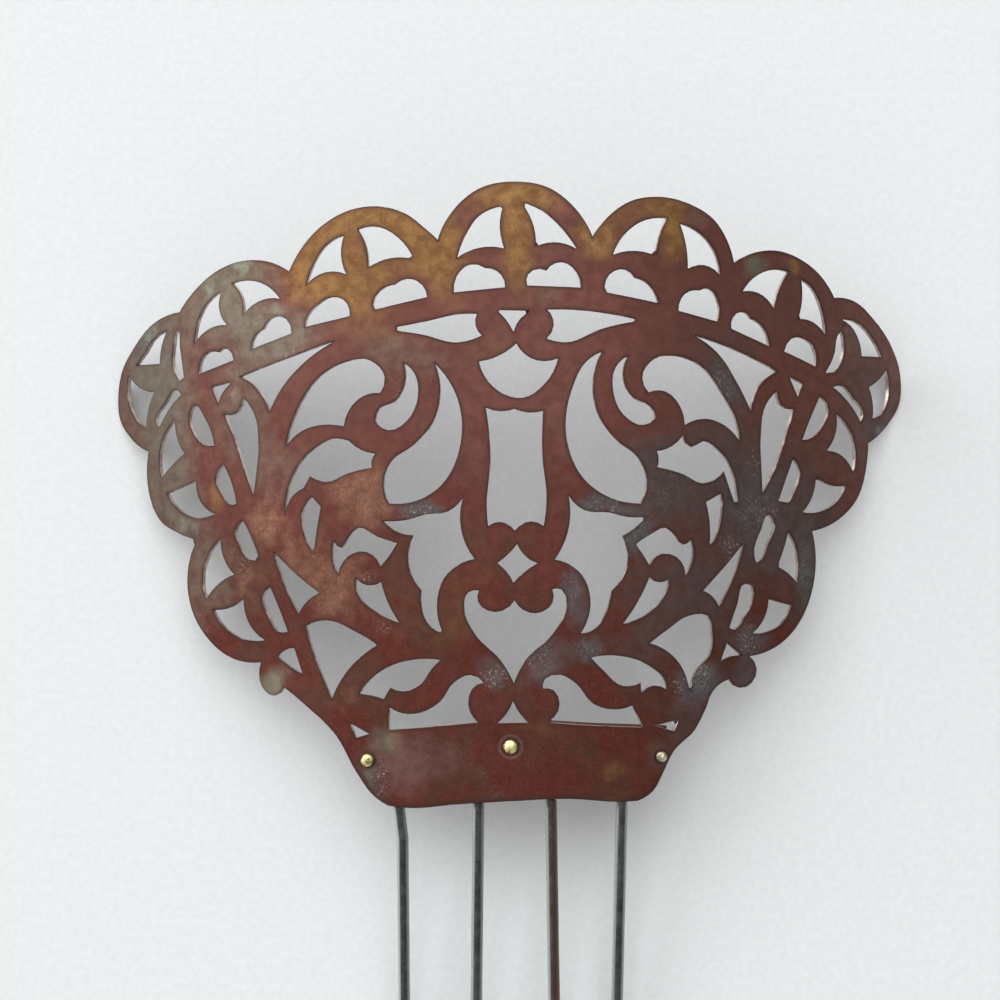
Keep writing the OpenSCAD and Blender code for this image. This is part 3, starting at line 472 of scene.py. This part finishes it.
edgeMetal = {name: edgeMaterial(name, *facts) for name, facts in edgeFinishes.items()}
print("materials of the sheet")


# crest

# shallow dents and swellings of the face: across, up, radius, height in millimetres
dents = [
    (-24.72, 6.28, 2.6, -0.10),
    (-0.4, 8.86, 2.8, -0.12),
    (25.2, 6.9, 2.4, -0.10),
    (-6.2, 4.0, 3.0, 0.05),
    (-14, 50, 6, -0.25),
    (17, 49, 6, -0.25),
    (37, 66, 8, -0.3),
    (45, 42, 9, -0.3),
    (-42, 60, 12, -0.3),
    (40, 20, 5, -0.3),
    (5, 24, 5, -0.2),
]
# unevenness in millimetres: it fades in above the band and out toward both sides, the waves also at the top
uneven = {
    "band": 13.5, "rim": 66, "fade": 12, "top": (84, 96), "sink": 0.2, "highest": 0.05, "dentReach": 2.5,
    "waves": [(3, 0.045, 0.35), (9, 0.14, 0.08)],  # place in the noise, closeness, height
}
crestParts = {"wall": 1, "edge": 2}  # places in the crest's list of materials
flatTurn = 1  # faces that meet within this many degrees are one


def liftAt(across, up, onFace):
    lift = 0
    for middleAcross, middleUp, radius, height in dents:
        away = math.hypot(across - middleAcross, up - middleUp) / radius
        if away < uneven["dentReach"]:
            lift += height * math.exp(-2 * away * away)
    wave = 0
    for noisePlace, closeness, height in uneven["waves"]:
        wave += noise.noise(Vector((across, up, noisePlace)) * closeness) * height
    crestShare = softStep(uneven["band"], uneven["band"] + uneven["fade"], up)
    rimShadeShare = 1 - softStep(uneven["rim"] - uneven["fade"], uneven["rim"], abs(across))
    topShare = 1 - softStep(*uneven["top"], up)
    lift = min(lift, uneven["highest"])
    if not onFace:
        lift *= crestShare
    return (lift + (wave - uneven["sink"]) * crestShare * topShare) * rimShadeShare


def flatSpot(comb):
    across = math.atan2(comb.x, comb.z) * sheet["bend"]
    return Vector((across, comb.y, math.hypot(comb.x, comb.z) - sheet["bend"]))


def mergedCopy(nodeName):
    made = bmesh.new()
    made.from_mesh(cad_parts[nodeName].data)
    bmesh.ops.remove_doubles(made, verts=made.verts, dist=2 * touching)
    return made


def everything(made):
    return made.verts[:] + made.edges[:] + made.faces[:]


def finishPiece(mesh, name, materials, nodeName, sharp=30):
    for face in mesh.faces:
        face.smooth = True
    for edge in mesh.edges:
        edge.smooth = not (len(edge.link_faces) == 2 and edge.calc_face_angle(0) > math.radians(sharp))
    data = bpy.data.meshes.new(name)
    mesh.to_mesh(data)
    mesh.free()
    for material in materials:
        data.materials.append(material)
    piece = bpy.data.objects.new(name, data)
    bpy.context.collection.objects.link(piece)
    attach(piece, "root")
    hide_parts(nodeName)
    return piece


# the sheet's front face, laid flat and cut into small cells
def flatFace():
    made = mergedCopy("crest_plate")
    for vert in made.verts:
        vert.co = flatSpot(rowToComb @ vert.co)
    walls = [face for face in made.faces if any(abs(vert.co.z) > sheet["faceGap"] for vert in face.verts)]
    bmesh.ops.delete(made, geom=walls, context="FACES")
    for vert in made.verts:
        vert.co.z = 0
    bmesh.ops.dissolve_limit(made, angle_limit=math.radians(flatTurn), verts=made.verts, edges=made.edges)
    low = [min(vert.co[k] for vert in made.verts) for k in (0, 1)]
    high = [max(vert.co[k] for vert in made.verts) for k in (0, 1)]
    for axis, direction in ((0, Vector((1, 0, 0))), (1, Vector((0, 1, 0)))):
        for step in range(1, math.ceil((high[axis] - low[axis]) / sheet["cell"])):
            bmesh.ops.bisect_plane(
                made, geom=everything(made), dist=touching,
                plane_co=direction * (low[axis] + step * sheet["cell"]), plane_no=direction,
            )
    return made


def thicken(made):
    bmesh.ops.inset_region(
        made, faces=made.faces[:], thickness=sheet["chamfer"], use_boundary=True, use_even_offset=True
    )
    for edge in made.edges:
        if edge.is_boundary:
            for vert in edge.verts:
                vert.co.z = -sheet["chamfer"]
            for face in edge.link_faces:
                face.material_index = crestParts["edge"]
    rim = bmesh.ops.extrude_edge_only(made, edges=[edge for edge in made.edges if edge.is_boundary])
    for element in rim["geom"]:
        if isinstance(element, bmesh.types.BMVert):
            element.co.z = -sheet["thick"] / 2
        if isinstance(element, bmesh.types.BMFace):
            element.material_index = crestParts["wall"]
    bmesh.ops.translate(made, verts=made.verts, vec=(0, 0, sheet["thick"] / 2))
    bmesh.ops.mirror(made, geom=everything(made), axis="Z", merge_dist=touching)
    bmesh.ops.recalc_face_normals(made, faces=made.faces)
    bmesh.ops.triangulate(made, faces=[face for face in made.faces if len(face.verts) > 4])


def buildCrest():
    made = flatFace()
    rimSpots = [vert.co.copy() for vert in made.verts if vert.is_boundary]
    nearestRim = kdtree.KDTree(len(rimSpots))
    for index, corner in enumerate(rimSpots):
        nearestRim.insert(corner, index)
    nearestRim.balance()
    thicken(made)
    layers = {}
    for name in ("flatPlace", *stainChannels, "wearMarks"):
        layers[name] = made.verts.layers.float_vector.new(name)
    for vert in made.verts:
        along, height, out = vert.co
        across, up = along / mm, height / mm
        vert[layers["flatPlace"]] = (across, up, out / mm)
        drift = noise.noise_vector(Vector((across, up, stainEdge["driftPlace"])) * stainEdge["driftScale"])
        drift *= stainEdge["drift"]
        spot = (across + drift.x, up + drift.y)
        for name, kinds in stainChannels.items():
            vert[layers[name]] = [stainAt(kind, *spot) for kind in kinds]
        rimAway = nearestRim.find((along, height, 0))[2] / mm
        vert[layers["wearMarks"]] = (stainAt("scuff", across, up), rimAway, stainAt("rose", *spot))
        radius = sheet["bend"] - sheet["thick"] / 2 + out + liftAt(across, up, out > 0) * mm
        turn = along / sheet["bend"]
        vert.co = combToRow @ Vector((radius * math.sin(turn), height, radius * math.cos(turn)))
    materials = [copperSheet, edgeMetal["sawnWall"], edgeMetal["rubbedAndLitEdge"]]
    return finishPiece(made, "crestSheet", materials, "crest_plate")


crest = buildCrest()
print("crest", len(crest.data.polygons), "faces")


# tines and foot strip

# two dark tones by the mottle, with paler flecks over them
steel = {
    "metallic": 0.92, "fineness": 1.2,
    "dark": (0.045, 0.047, 0.047), "light": (0.095, 0.098, 0.096), "mottle": (0.35, 0.65),
    "fleck": (0.30, 0.31, 0.30), "fleckShare": 0.22,
    "rough": (0.3, 0.7, 0.32, 0.2), "bump": (0.5, 0.12 * mm),
}
# painted highlights along both flanks where the wire would reflect the bright room, the left one stronger:
# strength and colour
steelFlankHighlights = {"X": (0.95, (0.54, 0.57, 0.56)), "Y": (0.6, (0.38, 0.41, 0.42))}
flankEdge = (0.4, 0.75)
# the third tine has a reddish film on its right side: where it starts and ends across, in millimetres
steelFilm = {"left": (6.1, 7.1), "right": (12, 10), "share": 0.75, "tint": (0.11, 0.045, 0.040)}

darkSteel, steelTree, steelShader = newMaterial("darkSteel", Metallic=steel["metallic"])
steelPlace = sheetValues(steelTree, "flatPlace")
steelWear = useGroup(steelTree, wearGroup, {"Place": steelPlace, "Fineness": steel["fineness"]})
steelColour = mixColour(
    steelTree, mapRange(steelTree, steelWear["Mottle"], *steel["mottle"]), steel["dark"], steel["light"]
)
fleckShare = calculate(steelTree, "MULTIPLY", steelWear["Fleck"], steel["fleckShare"])
steelColour = mixColour(steelTree, fleckShare, steelColour, steel["fleck"])
flank = parted(steelTree, sheetValues(steelTree, "flank"))
# the pale flank colour is a painted highlight, set by which way each corner faces
for side, (strength, tint) in steelFlankHighlights.items():
    brightened = calculate(steelTree, "MULTIPLY", mapRange(steelTree, flank[side], *flankEdge), strength)
    steelColour = mixColour(steelTree, brightened, steelColour, tint)
acrossSteel = parted(steelTree, steelPlace)["X"]
film = [mapRange(steelTree, acrossSteel, *steelFilm[side]) for side in ("left", "right")]
filmShare = calculate(steelTree, "MULTIPLY", calculate(steelTree, "MULTIPLY", *film), steelFilm["share"])
fillSockets(steelTree, steelShader, {
    "Base Color": mixColour(steelTree, filmShare, steelColour, steelFilm["tint"]),
    "Roughness": mapRange(steelTree, steelWear["Mottle"], *steel["rough"]),
})
addBump(steelTree, steelShader, steelWear["Mottle"], *steel["bump"])

# in millimetres: cuts along the tines, their waviness and where it fades, and where the strip's faces lie
tineShape = {
    "cut": 3, "from": -50, "to": -1, "wobble": 0.03, "closeness": (0.3, 0.12), "tipFade": 8,
    "bandFade": (-8, -2), "stripInside": 88.3, "stripFoot": -2,
}
tineTouching = 1e-7  # metres; corners nearer a cut than this lie on it
stripPart = 1  # place in the tines' list of materials


def buildTines():
    made = mergedCopy("tine_comb")
    made.transform(rowToComb)
    for face in made.faces:
        middle = face.calc_center_median() / mm
        if math.hypot(middle.x, middle.z) > tineShape["stripInside"] and middle.y > tineShape["stripFoot"]:
            face.material_index = stripPart
    for step in range(tineShape["from"], tineShape["to"], tineShape["cut"]):
        bmesh.ops.bisect_plane(
            made, geom=everything(made), dist=tineTouching, plane_co=(0, step * mm, 0), plane_no=(0, 1, 0)
        )
    made.normal_update()
    acrossCloseness, alongCloseness = tineShape["closeness"]
    for vert in made.verts:
        along = vert.co.y / mm
        share = softStep(tineShape["from"], tineShape["from"] + tineShape["tipFade"], along)
        share *= 1 - softStep(*tineShape["bandFade"], along)
        swell = noise.noise(Vector((vert.co.x / mm * acrossCloseness, along * alongCloseness, 0)))
        vert.co += vert.normal * swell * share * tineShape["wobble"] * mm
    flatLayer = made.verts.layers.float_vector.new("flatPlace")
    for vert in made.verts:
        vert[flatLayer] = flatSpot(vert.co) / mm
    flankLayer = made.verts.layers.float_vector.new("flank")
    for vert in made.verts:
        vert[flankLayer] = (max(0, -vert.normal.x), max(0, vert.normal.x), 0)
    made.transform(combToRow)
    return finishPiece(made, "tineComb", [darkSteel, edgeMetal["stripCopper"]], "tine_comb")


buildTines()
print("tines")


# rivets

# tarnished and bright colour
brassFinishes = {
    "agedBrass": ((0.22, 0.18, 0.07), (0.78, 0.70, 0.34)),
    "dullBrass": ((0.13, 0.12, 0.09), (0.52, 0.48, 0.33)),
}
# where the mottle turns bright, the roughness by the strokes, and the bump
brassLook = {
    "metallic": 1.0, "fineness": 2.5, "shine": (0.38, 0.52), "rough": (0.0, 1.0, 0.28, 0.16),
    "bump": (0.6, 0.2 * mm),
}


def brassMaterial(name, tarnished, bright):
    made, tree, shader = newMaterial(name, Metallic=brassLook["metallic"])
    spot = addNode(tree, "ShaderNodeTexCoord", {}).outputs["Object"]
    spot = vectorResult(tree, "SCALE", {0: spot, "Scale": 1 / mm})
    worn = useGroup(tree, wearGroup, {"Place": spot, "Fineness": brassLook["fineness"]})
    shine = mapRange(tree, worn["Mottle"], *brassLook["shine"])
    fillSockets(tree, shader, {
        "Base Color": mixColour(tree, shine, tarnished, bright),
        "Roughness": mapRange(tree, worn["Stroke"], *brassLook["rough"]),
    })
    addBump(tree, shader, worn["Mottle"], *brassLook["bump"])
    return made


brassMetal = {name: brassMaterial(name, *facts) for name, facts in brassFinishes.items()}

# rivets: node, spot, head diameter in millimetres, the place of their hammer marks in the noise, finish
rivets = {
    "rivetLeft": ("rivet_left", "left", 2.4, 20, "agedBrass"),
    "rivetCentre": ("rivet_centre", "centre", 2.52, 75, "agedBrass"),
    "rivetRight": ("rivet_right", "right", 2.04, 140, "dullBrass"),
}
# in millimetres, then the steps round it and over its head, the dome's power and the sharp turn in degrees
rivetShape = {
    "head": 0.9, "play": 0.03, "shank": 0.6, "tailFace": -1.66, "tail": 0.5, "tailRadius": 1.0,
    "steps": 40, "headSteps": 9, "dome": 0.85, "sharp": 50,
}
# how the tail is rounded in millimetres: what is taken off its radius and height at its face and at its end
tailRound = {
    "face": 0.12, "shoulder": 0.14, "endRadius": 0.1, "end": 0.12,
    "crown": 0.02, "crownShare": 0.6,
}
# how close the hammer marks lie, and their depth and lowest height in millimetres
hammerMarks = {"closeness": 1.5, "depth": 0.22, "above": 0.3}


def rivetProfile(wide):
    head, play, dome = rivetShape["head"], rivetShape["play"], rivetShape["dome"]
    shank, wideTail, tailFace = rivetShape["shank"], rivetShape["tailRadius"], rivetShape["tailFace"]
    tailEnd = tailFace - rivetShape["tail"]
    profile = [(0, play + head)]
    for step in range(1, rivetShape["headSteps"] + 1):
        turn = math.radians(90 / rivetShape["headSteps"] * step)
        profile.append((wide / 2 * math.sin(turn) ** dome, play + head * math.cos(turn) ** dome))
    return profile + [
        (shank, play),
        (shank, tailFace),
        (wideTail - tailRound["face"], tailFace),
        (wideTail, tailFace - tailRound["shoulder"]),
        (wideTail - tailRound["endRadius"], tailEnd + tailRound["end"]),
        (wideTail * tailRound["crownShare"], tailEnd + tailRound["crown"]),
        (0, tailEnd),
    ]


def buildRivet(name, nodeName, spotName, wide, markPlace, finish):
    made = bmesh.new()
    corners = [made.verts.new((radius * mm, 0, height * mm)) for radius, height in rivetProfile(wide)]
    lines = [made.edges.new(pair) for pair in zip(corners, corners[1:])]
    bmesh.ops.spin(
        made, geom=corners + lines, axis=(0, 0, 1), cent=(0, 0, 0), angle=math.tau,
        steps=rivetShape["steps"], use_merge=True,
    )
    bmesh.ops.remove_doubles(made, verts=made.verts, dist=touching)
    bmesh.ops.recalc_face_normals(made, faces=made.faces)
    for vert in made.verts:
        spot = Vector((vert.co.x, vert.co.y, markPlace * mm)) / mm
        dip = max(0, noise.noise(spot * hammerMarks["closeness"])) * hammerMarks["depth"] * mm
        if vert.co.z > hammerMarks["above"] * mm:
            vert.co -= vert.co.normalized() * dip
    made.transform(onSheet(*rivetSpots[spotName]))
    return finishPiece(made, name, [brassMetal[finish]], nodeName, sharp=rivetShape["sharp"])


for name, facts in rivets.items():
    buildRivet(name, *facts)
print("rivets")


# floor, light and air

# a matt floor in two close greys, mixed by a fine grain
floorLook = {
    "rough": 0.9, "low": (0.70, 0.705, 0.725), "high": (0.735, 0.742, 0.76), "grain": (900.0, 3.0),
    "spread": (0.3, 0.7), "size": 3, "cells": 4,
}
paleFloor, floorTree, floorShader = newMaterial("paleFloor", Roughness=floorLook["rough"])
floorPlace = addNode(floorTree, "ShaderNodeTexCoord", {}).outputs["Object"]
floorGrain = noiseResult(floorTree, floorPlace, *floorLook["grain"])
floorGrain = mapRange(floorTree, floorGrain, *floorLook["spread"])
fillSockets(floorTree, floorShader, {
    "Base Color": mixColour(floorTree, floorGrain, floorLook["low"], floorLook["high"]),
})
floorMesh = bmesh.new()
bmesh.ops.create_grid(
    floorMesh, x_segments=floorLook["cells"], y_segments=floorLook["cells"], size=floorLook["size"]
)
floorData = bpy.data.meshes.new("floor")
floorMesh.to_mesh(floorData)
floorMesh.free()
floorData.materials.append(paleFloor)
floor = bpy.data.objects.new("floor", floorData)
bpy.context.collection.objects.link(floor)

# a room that is lighter toward the window side and overhead
room = {
    "lightest": (-0.76, 0.42, 0.50), "spread": (0.1, 0.95), "dim": (0.55, 0.56, 0.53),
    "bright": (0.98, 1.0, 0.96), "strength": 0.97,
}
air = bpy.data.worlds.new("air")
air.use_nodes = True
airTree = air.node_tree
towards = addNode(airTree, "ShaderNodeTexCoord", {}).outputs["Generated"]
facing = vectorResult(airTree, "DOT_PRODUCT", {0: towards, 1: room["lightest"]})
facing = mapRange(airTree, facing, *room["spread"])
fillSockets(airTree, airTree.nodes["Background"], {
    "Color": mixColour(airTree, facing, room["dim"], room["bright"]),
    "Strength": room["strength"],
})
bpy.context.scene.world = air

# soft lights, which face the comb: place in metres, side of the square and power
lights = {
    "overhead": ((0.1, 0.5, 1.35), 1.5, 9),
    "window": ((-1.15, 0.6, 0.7), 1.1, 10),
}
lampColour = (0.96, 0.98, 1.0)
for name, (lampPlace, side, power) in lights.items():
    lamp = bpy.data.objects.new(name, bpy.data.lights.new(name, "AREA"))
    lamp.data.size = side
    lamp.data.energy = power
    lamp.data.color = lampColour
    lamp.location = lampPlace
    lamp.rotation_mode = "QUATERNION"
    lamp.rotation_quaternion = (-Vector(lampPlace)).to_track_quat("-Z", "Y")
    bpy.context.collection.objects.link(lamp)
print("floor and lights")
